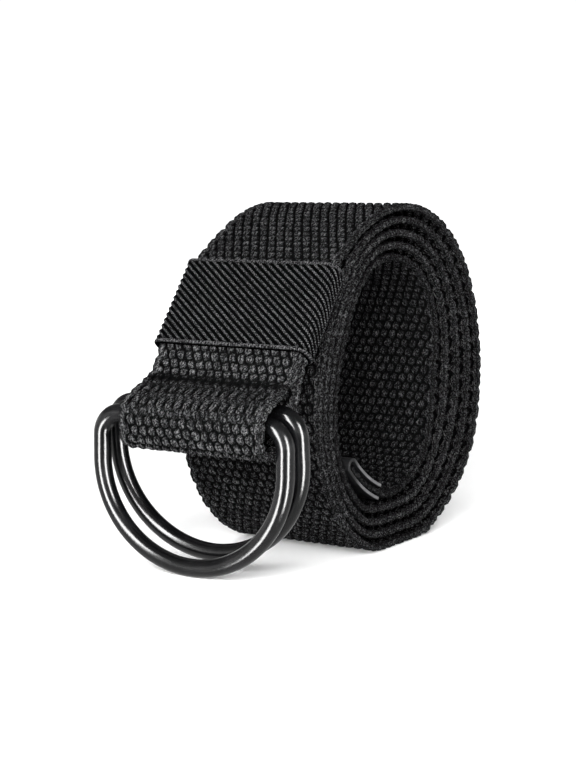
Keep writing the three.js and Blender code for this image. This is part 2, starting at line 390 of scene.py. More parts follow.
class Shading:
    """A node tree in the making."""

    def __init__(self, tree):
        self.nodes = tree.nodes
        self.links = tree.links

    def node(self, kind, settings=None, **inputs):
        """Any node: its settings first, then the values or links of its sockets."""
        node = self.nodes.new("ShaderNode" + kind)
        for setting, value in (settings or {}).items():
            setattr(node, setting, value)
        for socket, value in inputs.items():
            self.feed(node.inputs[socket.replace("_", " ")], value)
        return node

    def feed(self, socket, value):
        if isinstance(value, Value):
            value = value.socket
        if isinstance(value, bpy.types.NodeSocket):
            self.links.new(value, socket)
        else:
            socket.default_value = value

    def math(self, operation, *values):
        node = self.node("Math", {"operation": operation})
        for socket, value in zip(node.inputs, values):
            self.feed(socket, value)
        return Value(self, node.outputs[0])

    def number(self, node, output=0):
        return Value(self, node.outputs[output])

    def split(self, vector):
        parts = self.node("SeparateXYZ", Vector=vector)
        return [Value(self, output) for output in parts.outputs]

    def join(self, x, y, z):
        return self.node("CombineXYZ", X=x, Y=y, Z=z).outputs[0]

    def attribute(self, name):
        return self.node("Attribute", {"attribute_name": name}).outputs["Vector"]

    def noise(self, vector, scale, detail=2, roughness=0.5):
        made = self.node("TexNoise", Vector=vector, Scale=scale, Detail=detail, Roughness=roughness)
        return self.number(made)

    def between(self, value, low, high, to_low=0, to_high=1):
        """Eases from one value to another while the given one goes from low to high."""
        made = self.node(
            "MapRange", {"interpolation_type": "SMOOTHSTEP"}, Value=value, From_Min=low,
            From_Max=high, To_Min=to_low, To_Max=to_high,
        )
        return self.number(made)

    def blend(self, factor, dark, light):
        """A colour between two."""
        mix = self.node("Mix", {"data_type": "RGBA"})
        self.feed(mix.inputs["Factor"], factor)
        self.feed(mix.inputs[6], dark)
        self.feed(mix.inputs[7], light)
        return mix.outputs[2]

    def relief(self, height, distance, strength):
        """Raises the surface by a height from 0 to 1, at most the distance in metres."""
        return self.node("Bump", Height=height, Distance=distance, Strength=strength).outputs[0]


class Finish(Shading):
    """A material in the making, with one surface shader."""

    def __init__(self, name, **fixed):
        self.material = bpy.data.materials.new(name)
        self.material.use_nodes = True
        super().__init__(self.material.node_tree)
        self.shader = next(n for n in self.nodes if n.type == "BSDF_PRINCIPLED")
        for socket, value in fixed.items():
            self.shader.inputs[socket.replace("_", " ")].default_value = value

    def surface(self, **inputs):
        for socket, value in inputs.items():
            self.feed(self.shader.inputs[socket.replace("_", " ")], value)
        return self.material


def setting(kind, **fixed):
    """A kind of setting, still to be given its name, description and default."""
    def made(name, description, default):
        return kind(name=name, description=description, default=default, **fixed)

    return made


color = setting(bpy.props.FloatVectorProperty, subtype="COLOR", size=4, min=0, max=1)
length = setting(bpy.props.FloatProperty, unit="LENGTH", precision=5)
angle = setting(bpy.props.FloatProperty, subtype="ANGLE")
share = setting(bpy.props.FloatProperty, subtype="FACTOR", min=0, max=1)
whole = setting(bpy.props.IntProperty)


class WebbingSettings(bpy.types.PropertyGroup):
    pairs: whole("Pairs of ends", "Pairs of warp ends across the strap", 15)
    repeats: whole("Repeats", "Repeats of the weave along the strap", 252)
    reach: length("Reach", "From the middle to the outermost end's middle", 0.0169)
    crest: length("Crest", "How far an end's middle rises off the strap's middle", 0.00050)
    half_width: length("Half width", "Half an end's width at a crest", 0.00098)
    waist: length("Waist", "Half an end's width where it crosses the others", 0.00062)
    twist: length("Twist", "How far an end slants aside along a crest", 0.00016)
    half_depth: length("Half depth", "Half an end's thickness", 0.00043)
    core_width: length("Core width", "Width of the dense middle of the weave", 0.0360)
    core_depth: length("Core depth", "Thickness of the dense middle of the weave", 0.0006)
    selvage_width: length("Selvage width", "Half the width of the cord along each edge", 0.00106)
    selvage_depth: length("Selvage depth", "Half the thickness of that cord", 0.00096)
    selvage_tight: share("Selvage tightness", "Size of that cord between its knots", 0.76)
    selvage_sway: length("Selvage sway", "How far that cord winds to and fro", 0.00012)
    jitter: length("Unevenness", "How far the crests stray from their places", 0.00009)
    seed: whole("Seed", "Which way each crest strays", 11)
    seam: length("Seam", "From the point nearest the axis down along the tail", 0.0278)
    seam_reach: length("Seam reach", "How far from the seam the weave is pressed down", 0.0005)
    seam_depth: share("Seam depth", "How much of its height the weave loses there", 0.42)
    ribbed: length("Ribbed", "How far below the seam the weave is drawn into ribs", 0.0100)
    rib_high: length("High ribs", "How far every other end is raised there", 0.00052)
    rib_low: length("Low ribs", "How far the ends between are raised", 0.00022)
    rib_flat: share("Flat ribs", "How much of its waves an end loses there", 0.65)
    rib_fade: length("Rib fade", "How soon the ribs set in", 0.0012)
    stitches: whole("Stitches", "Stitches in the seam across the strap", 14)
    thread: length("Thread", "Radius of the sewing thread", 0.00024)
    stitch_length: share("Stitch length", "How much of its pitch a stitch covers", 0.86)
    stitch_height: share("Stitch height", "Height of a stitch, against the top of a crest", 0.36)
    # The cotton runs from its dark colour in the hollows, which is painted shade, to its light colour
    # on the crests
    dark: color("Dark", "Cotton in the hollows", (0.0016, 0.0016, 0.0017, 1))
    light: color("Light", "Cotton on the crests", (0.122, 0.122, 0.125, 1))
    # Painted shade: how light the wraps are against the sewn end
    wrap_shade: share("Wrap tone", "How light the wraps are, against the rubbed sewn end", 0.64)
    # Painted shade on the wall of the roll's hollow
    hollow_shade: share("Hollow tone", "How light the wall of the hollow is, against the wraps", 0.60)
    # Painted shade in the seam's crease
    crease_shade: share("Crease tone", "How light the cotton is in the seam's crease", 0.25)
    # Painted shade on the ribs below the seam
    ribbed_shade: share("Ribbed tone", "How light the ribs below the seam are", 0.58)


class BandSettings(bpy.types.PropertyGroup):
    corner: length("Corner", "Radius of the sleeve's outer corners", 0.0024)
    ribs: whole("Ribs", "Slanting ribs round the sleeve", 43)
    slant: angle("Slant", "From the sleeve's edge to the ribs", math.radians(36))
    rise: length("Rise", "From the grooves to the tops of the ribs", 0.00040)
    edge: length("Edge", "Width of the rolled edge", 0.0011)
    edge_rise: length("Edge rise", "How far the rolled edge stands proud", 0.0002)
    edge_fade: length("Edge fade", "How soon the ribs give way to the rolled edge", 0.0003)
    bead: length("Bead", "From one bead of thread to the next along a rib", 0.00062)
    # Painted shade: the dark thread colour fills the grooves, the light one the tops of the ribs
    dark: color("Dark", "Thread in the grooves", (0.0010, 0.0010, 0.0011, 1))
    light: color("Light", "Thread on the ribs", (0.100, 0.100, 0.103, 1))


class RingSettings(bpy.types.PropertyGroup):
    wire: length("Wire", "Thickness of the wire", 0.0040)
    half_width: length("Half width", "From the middle to the wire's middle", 0.0245)
    height: length("Height", "From the bar to the bottom of the bow", 0.0326)
    bow_rise: length("Bow rise", "Height of the bow's half ellipse", 0.0226)
    corner: length("Corner", "Radius from the bar into the side", 0.0050)
    enamel: color("Enamel", "Black enamel", (0.0015, 0.0015, 0.0017, 1))
    worn: color("Worn", "Enamel dulled by handling", (0.005, 0.005, 0.0055, 1))


class TipSettings(bpy.types.PropertyGroup):
    width: length("Width", "Along the edge of the strap's end", 0.0386)
    break_edge: length("Broken edge", "Rounding of the plate's edges", 0.00012)
    satin: color("Satin", "Dark satin metal", (0.014, 0.014, 0.015, 1))
    # Bared metal on the plate's cut edges, lightened further as a painted highlight
    bright: color("Bright", "Metal bared along the edges", (0.17, 0.17, 0.175, 1))


class StageSettings(bpy.types.PropertyGroup):
    floor: color("Floor", "Pale floor", (0.90, 0.90, 0.90, 1))
    reach: length("Reach", "Radius of the floor", 6.0)
    lit_floor: length("Lit floor", "How far from the belt the lamps light the floor", 0.5)


SETTINGS = {
    "belt_webbing": WebbingSettings,
    "belt_band": BandSettings,
    "belt_rings": RingSettings,
    "belt_tip": TipSettings,
    "belt_stage": StageSettings,
}


# Along the strap: what the keeper covers, over which the painted shade of the wraps sets in, and where
# the wall of the hollow begins, with painted shade of its own
UNDER_KEEPER = (0.072, 0.088)
HOLLOW_WALL = (0.87, 0.90)


def strap_painted_shade(finish, x, settings):
    """How light the cotton is, with painted shade: on the wraps against the sewn end, in the seam's
    crease, in the ribs below the seam and on the wall of the hollow.
    """
    seam = seams(settings)[1]
    # Painted shade on the wraps, with the sewn end left lighter
    better_lit = finish.between(x, *UNDER_KEEPER, 1, settings.wrap_shade)
    # Painted shade on the wall of the roll's hollow
    inside = finish.between(x, *HOLLOW_WALL, 1, settings.hollow_shade)
    # Painted shade in the seam's crease, a thin dark line
    crease = finish.between(abs(x - seam), 0.0002, 0.0009, settings.crease_shade, 1)
    # Painted shade on the ribs below the seam, ending at the seam
    ribs = (seam - settings.ribbed, seam - settings.rib_fade)
    ribbed = finish.between(x, *ribs, 1, settings.ribbed_shade)
    past_seam = finish.between(x, seam, seam + 0.0006)
    return better_lit * inside * crease * ribbed.or_more(past_seam)


def cotton_finish(settings, step):
    """Black cotton: two plied yarns side by side in each end, with fine stray fibres, painted shade in
    its hollows and painted glints where the fibres catch the light.
    """
    finish = Finish("black_cotton", Specular_IOR_Level=0.0)
    x, y, z = finish.split(finish.attribute("weave"))
    across = finish.split(finish.attribute("strand"))[1]
    fibres = finish.noise(finish.join(x * 1000, y * 4200 + x * 1500, z * 4200), 1, 3, 0.65)
    specks = finish.noise(finish.join(x * 2500, y * 2900, z * 2900), 1, 2, 0.65)
    patches = finish.noise(finish.join(x * 150, y * 200, z * 200), 1, 2)
    # Painted glints: light specks where stray fibres catch the light
    shine = finish.between(fibres * 0.45 + specks * 0.55, 0.465, 0.62)
    # Painted shade: darker in the groove between the two plies, down the sides of each end, in the
    # hollows between crests and on the cord between its knots
    plies = finish.between(abs(across), 0.0, 0.34)
    side = finish.between(abs(across), 0.5, 1.0, 1, 0.35)
    end = side * finish.between(abs(z), 0.00022, 0.00088)
    knots = finish.between(abs((x * (2 * math.pi / step)).sine()), 0.0, 0.7, 0.35, 1)
    cord = knots * finish.between(abs(z), 0.0005, 0.00088, 0.74, 0.16)
    rim = finish.between(abs(y), WIDTH / 2 - 0.0010, WIDTH / 2 - 0.0006)
    crest = end * (1 - rim) + cord * rim
    tone = strap_painted_shade(finish, x, settings) * (patches * 1.3 + 0.35)
    lit = crest * tone * (shine * 1.06 + 0.04) * (plies * 0.5 + 0.5)
    return finish.surface(
        Base_Color=finish.blend(lit, settings.dark[:], settings.light[:]),
        Roughness=finish.between(shine, 0, 1, 0.95, 0.80),
        Normal=finish.relief(fibres * 0.45 + specks * 0.25 + plies * 0.30, 0.00030, 0.9),
    )


def edges_at(verts):
    """The edges at some vertices, each once."""
    return list(dict.fromkeys(edge for vert in verts for edge in vert.link_edges))


def verts_of(edges):
    """The vertices of some edges, each once."""
    return list(dict.fromkeys(vert for edge in edges for vert in edge.verts))


def last_loop(made, key="geom"):
    """The vertices and edges of the ring that an extrusion or a spin ends with."""
    verts = [part for part in made[key] if isinstance(part, bmesh.types.BMVert)]
    edges = [
        part for part in made[key]
        if isinstance(part, bmesh.types.BMEdge) and all(v in verts for v in part.verts)
    ]
    return verts, edges


def drawn_tube(bm, sides, stations):
    """An open tube through stations, each the middle and the half sizes of a square-ish oval."""
    layers = bm.verts.layers.float_vector
    strand = layers.get("strand") or layers.new("strand")
    middle, half = stations[0]
    ring = bmesh.ops.create_circle(bm, cap_ends=False, radius=1, segments=sides)["verts"]
    bmesh.ops.rotate(bm, matrix=Matrix.Rotation(math.radians(90), 3, "Y"), verts=ring)
    for vert in ring:
        vert.co *= 1 + 0.2 * abs(vert.co.y * vert.co.z)
        vert[strand] = vert.co
    bmesh.ops.scale(bm, vec=half, verts=ring)
    bmesh.ops.translate(bm, vec=middle, verts=ring)
    edges = edges_at(ring)
    for place, grown in stations[1:]:
        ring, edges = last_loop(bmesh.ops.extrude_edge_only(bm, edges=edges))
        ratio = Vector(new / old for new, old in zip(grown, half))
        bmesh.ops.scale(bm, vec=ratio, space=Matrix.Translation(-middle), verts=ring)
        bmesh.ops.translate(bm, vec=place - middle, verts=ring)
        middle, half = place, grown


def end_spacing(settings):
    return 2 * settings.reach / (2 * settings.pairs - 1)


# An end's way through one repeat of the weave: how far on, and how high of its crest. The plain
# way is for wraps that lie inside the roll.
FULL_WAY = (
    (0, 1), (0.14, 0.66), (0.25, 0), (0.36, -0.66), (0.5, -1), (0.64, -0.66), (0.75, 0),
    (0.86, 0.66), (1, 1),
)
PLAIN_WAY = ((0, 1), (0.25, 0), (0.5, -1), (0.75, 0), (1, 1))


def weave_tile(settings, step, way, sides):
    """One repeat of two neighbouring warp ends: each goes over one pick and under the next."""
    bm = bmesh.new()
    for side, up in ((0, 1), (1, -1)):
        sections = []
        for part, height in way:
            aside = settings.twist * math.sin(4 * math.pi * part)
            y = side * end_spacing(settings) + aside
            middle = Vector((part * step, y, up * height * settings.crest))
            wide = settings.waist + abs(height) * (settings.half_width - settings.waist)
            sections.append((middle, Vector((1, wide, settings.half_depth))))
        drawn_tube(bm, sides, sections)
    bmesh.ops.recalc_face_normals(bm, faces=bm.faces)
    return bm


def selvage_tile(settings, step):
    """One repeat of the cord along an edge, which the weft goes round at each pick."""
    width, depth = settings.selvage_width, settings.selvage_depth
    middle_y = settings.core_width / 2
    bm = bmesh.new()
    for side in (-1, 1):
        sections = []
        for quarter in range(5):
            tight = 1 if quarter % 2 else settings.selvage_tight
            sway = settings.selvage_sway * (1, 0, -1, 0, 1)[quarter]
            place = Vector((quarter * step / 4, side * (middle_y + sway), sway))
            sections.append((place, Vector((1, width * tight, depth * tight))))
        drawn_tube(bm, 8, sections)
    bmesh.ops.recalc_face_normals(bm, faces=bm.faces)
    return bm


def close(piece):
    """Fills the piece's open ends."""
    bm = bmesh.new()
    bm.from_mesh(piece.data)
    bmesh.ops.edgenet_fill(bm, edges=[edge for edge in bm.edges if edge.is_boundary])
    bmesh.ops.recalc_face_normals(bm, faces=bm.faces)
    bm.to_mesh(piece.data)
    bm.free()


# How much of the stray a crest takes along the strap, across it and off its face
STRAY_SHARES = (1.3, 1, 0.5)


def uneven(flat, settings, step):
    """Moves each crest a little from its place, as in real cotton."""
    random = np.random.default_rng(settings.seed)
    stray = random.normal(0, settings.jitter, (2 * settings.pairs, 2 * settings.repeats + 4, 3))
    end = np.rint((flat[:, 1] + settings.reach) / end_spacing(settings)).astype(int)
    end = np.clip(end, 0, 2 * settings.pairs - 1)
    at = 2 * flat[:, 0] / step + 1
    row = np.floor(at).astype(int)
    part = (at - row)[:, None]
    shift = stray[end, row] * (1 - part) + stray[end, row + 1] * part
    return flat + shift * STRAY_SHARES


# Along the strap: past the bottom of the loop
LOOP_FRONT = 0.045


def down_tail(s):
    """Where along the strap its front layer passes a place s down the tail."""
    return STRAP_LINE.nearest(on_tail(TAIL_N, s), first=LOOP_FRONT)


def seams(settings):
    """Where along the strap the seam goes through the fold and through the tail."""
    return STRAP_LINE.nearest(on_tail(FOLD_N, settings.seam)), down_tail(settings.seam)


def pressed(flat, settings):
    """The weave pressed down along the seam, and drawn into ribs on the tail below it."""
    flat = flat.copy()
    x, y, z = flat.T
    below = down_tail(settings.seam + settings.ribbed)
    above = seams(settings)[1]
    fade = settings.rib_fade
    inside = np.clip((x - below) / fade, 0, 1) * np.clip((above - x) / fade, 0, 1)
    end = np.rint((y + settings.reach) / end_spacing(settings))
    raised = np.where(end % 2 == 0, settings.rib_high, settings.rib_low)
    ribs = inside * (np.abs(y) < settings.reach + settings.waist)
    z = z * (1 - settings.rib_flat * ribs) + raised * ribs
    for seam in seams(settings):
        z *= 1 - settings.seam_depth * np.exp(-(((x - seam) / settings.seam_reach) ** 2))
    flat[:, 2] = z
    return flat


def onto_strap(piece, flat, settings):
    """Keeps the piece's flat places for its material and bends it onto the strap's line."""
    write_attribute(piece.data, "weave", flat)
    set_places(piece.data, STRAP_LINE.bend(flat))
    return piece


def woven(piece, flat, settings, step):
    """The same for the weave itself, whose crests then stray a little from their places."""
    flat = pressed(flat, settings)
    write_attribute(piece.data, "weave", flat)
    set_places(piece.data, STRAP_LINE.bend(uneven(flat, settings, step)))
    return piece


def woven_stretch(stretch, settings, step, material):
    """The warp ends of one stretch of the strap."""
    piece = shown(stretch.name, weave_tile(settings, step, stretch.way, stretch.sides), material)
    repeat(piece, stretch.last - stretch.first, (step, 0, 0))
    repeat(piece, settings.pairs, (0, 2 * end_spacing(settings), 0))
    close(finished(piece))
    flat = get_places(piece.data)
    flat[:, 0] += stretch.first * step + STRAP_END
    flat[:, 1] -= settings.reach
    return woven(piece, flat, settings, step)


def selvages(settings, step, material):
    """The cord along both edges of the strap."""
    piece = shown("webbing_selvages", selvage_tile(settings, step), material)
    repeat(piece, settings.repeats, (step, 0, 0))
    close(finished(piece))
    return woven(piece, get_places(piece.data), settings, step)


def strap_core(settings, material):
    """The dense middle of the weave, a thin closed sheet."""
    bm = bmesh.new()
    bmesh.ops.create_grid(bm, x_segments=2 * settings.repeats, y_segments=4, size=0.5)
    size = (STRAP_LINE.length - 2 * CORE_END, settings.core_width, 1)
    bmesh.ops.scale(bm, vec=size, verts=bm.verts)
    bmesh.ops.translate(bm, vec=(STRAP_LINE.length / 2, 0, settings.core_depth / 2), verts=bm.verts)
    bmesh.ops.solidify(bm, geom=bm.faces, thickness=settings.core_depth)
    bmesh.ops.recalc_face_normals(bm, faces=bm.faces)
    piece = shown("webbing_core", bm, material)
    flat = get_places(piece.data)
    flat[:, 2] -= flat[:, 2].mean()
    return onto_strap(piece, flat, settings)


def seam_stitches(settings, material):
    """The stitches across the tail under the keeper, half sunk into the weave."""
    pitch = 2 * settings.reach / settings.stitches
    bm = bmesh.new()
    bmesh.ops.create_uvsphere(bm, u_segments=8, v_segments=6, radius=settings.thread)
    strand = bm.verts.layers.float_vector.new("strand")
    for vert in bm.verts:
        vert[strand] = (0, 1, 0)
    stretch = settings.stitch_length * pitch / (2 * settings.thread)
    bmesh.ops.scale(bm, vec=(1, stretch, 0.8), verts=bm.verts)
    piece = shown("seam_stitches", bm, material)
    repeat(piece, settings.stitches, (0, pitch, 0))
    flat = get_places(finished(piece).data)
    flat[:, 0] += seams(settings)[1]
    flat[:, 1] -= (settings.stitches - 1) / 2 * pitch
    flat[:, 2] += settings.stitch_height * (settings.crest + settings.half_depth)
    return onto_strap(piece, flat, settings)


# From which to which repeat of the weave a stretch goes, its way and the sides of its ends
Stretch = namedtuple("Stretch", "name first last way sides")
STRETCHES = (
    Stretch("webbing_sewn_end", 0, 26, FULL_WAY, 8),
    Stretch("webbing_outer_wrap_a", 26, 56, FULL_WAY, 8),
    Stretch("webbing_outer_wrap_b", 56, 86, FULL_WAY, 8),
    Stretch("webbing_second_wrap", 86, 147, PLAIN_WAY, 6),
    Stretch("webbing_third_wrap", 147, 208, PLAIN_WAY, 6),
    Stretch("webbing_free_end", 208, 252, FULL_WAY, 8),
)
# What the ends and the core stop short of the strap's line by
STRAP_END = 0.0003
CORE_END = 0.0005


class BELT_OT_webbing(bpy.types.Operator):
    """Weave the strap: warp ends over a dense core, corded edges and the sewn seam"""

    bl_idname = "belt.webbing"
    bl_label = "Webbing"

    def execute(self, context):
        settings = context.scene.belt_webbing
        step = (STRAP_LINE.length - 2 * STRAP_END) / settings.repeats
        material = cotton_finish(settings, step)
        pieces = [woven_stretch(stretch, settings, step, material) for stretch in STRETCHES]
        pieces.append(selvages(settings, step, material))
        pieces.append(seam_stitches(settings, material))
        core = strap_core(settings, material)
        for piece in (core, *pieces):
            fit(piece, "belt", "woven_webbing", "belt_webbing")
        return {"FINISHED"}


def enamel_finish(settings):
    """Black enamel, with faint handling marks and a slightly uneven coat."""
    finish = Finish("black_enamel", IOR=1.5, Specular_IOR_Level=0.40)
    place = finish.node("TexCoord").outputs["Object"]
    cloud = finish.noise(place, 90, 3, 0.6)
    fine = finish.noise(place, 1400, 2, 0.5)
    worn = finish.between(cloud, 0.45, 0.75)
    return finish.surface(
        Base_Color=finish.blend(worn, settings.enamel[:], settings.worn[:]),
        Roughness=finish.between(cloud + fine * 0.3, 0.35, 0.95, 0.18, 0.25),
        Normal=finish.relief(fine * 0.6 + cloud * 0.4, 0.00006, 0.4),
    )


def d_ring(settings, sides=28):
    """Round wire swept from the middle of the bar round the bow and back, in the YZ plane."""
    radius = settings.wire / 2
    bar = settings.half_width - settings.corner
    side_end = settings.bow_rise - settings.height
    bm = bmesh.new()
    start = bmesh.ops.create_circle(bm, cap_ends=False, radius=radius, segments=sides)["verts"]
    bmesh.ops.rotate(bm, matrix=Matrix.Rotation(math.radians(90), 3, "X"), verts=start)
    edges = edges_at(start)

    def run(edges, vec, steps):
        for _ in range(steps):
            verts, edges = last_loop(bmesh.ops.extrude_edge_only(bm, edges=edges))
            bmesh.ops.translate(bm, vec=Vector(vec) / steps, verts=verts)
        return edges

    def turn(edges, cent, degrees, steps):
        made = bmesh.ops.spin(
            bm, geom=verts_of(edges) + edges, cent=cent, axis=(1, 0, 0), dvec=(0, 0, 0),
            angle=math.radians(degrees), steps=steps,
        )
        return last_loop(made, "geom_last")[1]

    edges = run(edges, (0, bar, 0), 3)
    edges = turn(edges, (0, bar, -settings.corner), -90, 12)
    edges = run(edges, (0, 0, side_end + settings.corner), 3)
    edges = turn(edges, (0, 0, side_end), -180, 90)
    edges = run(edges, (0, 0, -side_end - settings.corner), 3)
    edges = turn(edges, (0, -bar, -settings.corner), -90, 12)
    run(edges, (0, bar, 0), 3)
    for vert in bm.verts:
        below = side_end - vert.co.z
        if below > 0:
            out = math.hypot(vert.co.y, below)
            middle = below * settings.half_width / out
            vert.co.z += middle * (1 - settings.bow_rise / settings.half_width)
    bmesh.ops.remove_doubles(bm, verts=bm.verts, dist=1e-6)
    bmesh.ops.recalc_face_normals(bm, faces=bm.faces)
    return bm


class BELT_OT_rings(bpy.types.Operator):
    """Bend the wire of both D-rings and hang them by their bars"""

    bl_idname = "belt.rings"
    bl_label = "D-rings"

    def execute(self, context):
        settings = context.scene.belt_rings
        material = enamel_finish(settings)
        for place in RINGS:
            bm = d_ring(settings)
            lean = Matrix.Rotation(math.radians(-place.lean), 4, "Y")
            bmesh.ops.transform(bm, matrix=Matrix.Translation(place.bar) @ lean, verts=bm.verts)
            piece = shown(place.node + "_wire", bm, material)
            fit(piece, place.body, "ring_metal", place.node)
        return {"FINISHED"}


class SleeveLine:
    """The outline of the sleeve's outer face, square to the tail, from the middle of its back."""

    def __init__(self, corner):
        half_y = WIDTH / 2 + LAYER_GAP + BAND_WALL
        n0, n1, y1 = BAND_BACK + corner, BAND_FRONT - corner, half_y - corner
        points = [(BAND_BACK, 0)]
        for n, y, first in ((n0, -y1, 180), (n1, -y1, 270), (n1, y1, 0), (n0, y1, 90)):
            for angle in range(first, first + 91, 5):
                points.append(np.array((n, y)) + corner * heading(angle))
        points.append((BAND_BACK, 0))
        self.points = np.array(points)
        self.along = distances(self.points)
        self.length = self.along[-1]

    def at(self, x):
        return [np.interp(x % self.length, self.along, axis) for axis in self.points.T]

    def bend(self, flat):
        """Places of flat work round the sleeve: x round it, y down the tail, z off it."""
        x, s, z = flat.T
        n, y = self.at(x)
        reach = 0.0002
        dn, dy = np.subtract(self.at(x + reach), self.at(x - reach))
        size = np.hypot(dn, dy)
        n = n + z * dy / size
        y = y - z * dn / size
        out = ROLL_AXIS[:, None] + n * TAIL_OUT[:, None] + s * TAIL_DOWN[:, None]
        return np.stack((out[0], y, out[1]), axis=1)


def elastic_finish(settings):
    """Woven elastic: beaded threads in slanting ribs, with a finely ribbed rolled edge, and painted
    shade in the grooves between the ribs.
    """
    finish = Finish("black_elastic", Specular_IOR_Level=0.0)
    x, s, z = finish.split(finish.attribute("weave"))
    along, row, rise = finish.split(finish.attribute("strand"))
    column = (row * 2).floor() * math.pi
    beads = (along * (2 * math.pi / settings.bead) + column).sine() * 0.5 + 0.5
    hair = finish.noise(finish.join(x * 3200, s * 3200, z * 2000), 1, 2, 0.65)
    # Painted shade in the grooves, with the tops of the ribs and of the rolled edge light; the colour
    # is also darker between the beads
    top = finish.between(rise, 0.42, 0.88)
    speck = finish.between(hair, 0.43, 0.61, 0.10, 1.4)
    lit = top * (beads * 0.92 + 0.08) * speck
    return finish.surface(
        Base_Color=finish.blend(lit, settings.dark[:], settings.light[:]),
        Roughness=finish.between(hair, 0.3, 0.7, 0.6, 0.85),
        Normal=finish.relief(beads * 0.65 + hair * 0.35, 0.00022, 0.9),
    )


def elastic_sleeve(settings, material):
    """The sleeve, made flat: a fine grid raised into ribs, its rims turned in to a plain inside."""
    sleeve = SleeveLine(settings.corner)
    bm = bmesh.new()
    bmesh.ops.create_grid(bm, x_segments=10 * settings.ribs, y_segments=104, size=0.5)
    bmesh.ops.scale(bm, vec=(sleeve.length, BAND_TO - BAND_FROM, 1), verts=bm.verts)
    middle = (sleeve.length / 2, (BAND_TO + BAND_FROM) / 2, 0)
    bmesh.ops.translate(bm, vec=middle, verts=bm.verts)
    rims = []
    for end in (BAND_FROM, BAND_TO):
        rim = [e for e in bm.edges if all(abs(v.co.y - end) < 1e-6 for v in e.verts)]
        verts, edges = last_loop(bmesh.ops.extrude_edge_only(bm, edges=rim))
        bmesh.ops.translate(bm, vec=(0, 0, -BAND_WALL), verts=verts)
        rims += edges
    bmesh.ops.bridge_loops(bm, edges=rims)
    piece = shown("elastic_keeper", bm, material)
    flat = get_places(piece.data)
    x, s, z = flat.T
    outside = z > -BAND_WALL / 2
    spacing = sleeve.length / settings.ribs * math.sin(settings.slant)
    phase = settings.ribs * x / sleeve.length + s * math.cos(settings.slant) / spacing
    wave = 0.5 + 0.5 * np.cos(2 * math.pi * phase)
    inset = np.minimum(s - BAND_FROM, BAND_TO - s)
    edge = np.clip((settings.edge - inset) / settings.edge_fade, 0, 1)
    bead = np.clip(1 - ((inset - settings.edge / 2) / (settings.edge / 2)) ** 2, 0, 1) ** 0.5
    rib = settings.rise * (wave - 0.55)
    rolled = settings.edge_rise * (2 * bead - 1)
    flat[:, 2] += outside * (rib * (1 - edge) + edge * rolled)
    rise = outside * (wave * (1 - edge) + (0.5 + 0.45 * bead) * edge)
    write_attribute(piece.data, "weave", flat)
    along = x * math.cos(settings.slant) - s * math.sin(settings.slant)
    along = along * (1 - edge) + x * edge
    write_attribute(piece.data, "strand", np.stack((along, phase, rise), axis=1))
    set_places(piece.data, sleeve.bend(flat))
    bm = bmesh.new()
    bm.from_mesh(piece.data)
    bmesh.ops.remove_doubles(bm, verts=bm.verts, dist=1e-6)
    bmesh.ops.recalc_face_normals(bm, faces=bm.faces)
    bm.to_mesh(piece.data)
    bm.free()
    return piece


class BELT_OT_band(bpy.types.Operator):
    """Weave the elastic keeper round the tail and the folded end"""

    bl_idname = "belt.band"
    bl_label = "Elastic keeper"

    def execute(self, context):
        settings = context.scene.belt_band
        piece = elastic_sleeve(settings, elastic_finish(settings))
        fit(piece, "belt", "woven_elastic", "elastic_band")
        return {"FINISHED"}


def satin_finish(settings):
    """Dark satin metal, bared and pale on the cut edges of the plate, which also carry a painted
    highlight.
    """
    finish = Finish("dark_satin_metal", Metallic=0.6, Specular_IOR_Level=0.3)
    place = finish.node("TexCoord").outputs["Object"]
    brushed = finish.noise(finish.node("Mapping", Vector=place, Scale=(400, 60, 400)).outputs[0], 1, 3)
    facing = finish.split(finish.node("NewGeometry").outputs["Normal"])[1]
    past_fold = finish.between(finish.split(place)[0], -0.0200, -0.0165)
    # The cut edges, short of the folded end: bared metal with a painted highlight
    cut_edge = finish.between(abs(facing), 0.5, 0.9) * past_fold
    bared_edge_glint = cut_edge * finish.between(brushed, 0.2, 0.8, 0.6, 1.0)
    return finish.surface(
        Base_Color=finish.blend(bared_edge_glint, settings.satin[:], settings.bright[:]),
        Roughness=finish.between(brushed, 0.3, 0.7, 0.38, 0.55),
        Normal=finish.relief(brushed, 0.00005, 0.3),
    )


def folded_plate(settings):
    """The tip: a plate bent along the strap's arc, round its end and back."""
    inside = TIP_OUTSIDE - TIP_PLATE / 2
    mouth, end = (math.radians(angle) for angle in (TIP_START, TIP_START - TIP_BEND))
    centre = Vector((TIP_CENTRE[0], 0, TIP_CENTRE[1]))
    out = Vector((math.cos(mouth), 0, math.sin(mouth)))
    turn_at = centre + TIP_RADIUS * Vector((math.cos(end), 0, math.sin(end)))
    bm = bmesh.new()
    row = bmesh.ops.create_grid(bm, x_segments=1, y_segments=24, size=0.5)["verts"]
    bmesh.ops.delete(bm, geom=[v for v in row if v.co.x > 0], context="VERTS")
    row = list(bm.verts)
    for vert in row:
        vert.co.x = 0
    bmesh.ops.scale(bm, vec=(1, settings.width, 1), verts=row)
    bmesh.ops.translate(bm, vec=centre + out * (TIP_RADIUS + inside), verts=row)
    edges = list(bm.edges)
    bend = math.radians(TIP_BEND)
    for cent, angle, steps in ((centre, bend, 16), (turn_at, math.pi, 12), (centre, -bend, 16)):
        made = bmesh.ops.spin(
            bm, geom=verts_of(edges) + edges, cent=cent, axis=(0, 1, 0), dvec=(0, 0, 0),
            angle=angle, steps=steps,
        )
        edges = last_loop(made, "geom_last")[1]
    bmesh.ops.remove_doubles(bm, verts=bm.verts, dist=1e-7)
    bmesh.ops.recalc_face_normals(bm, faces=bm.faces)
    return bm


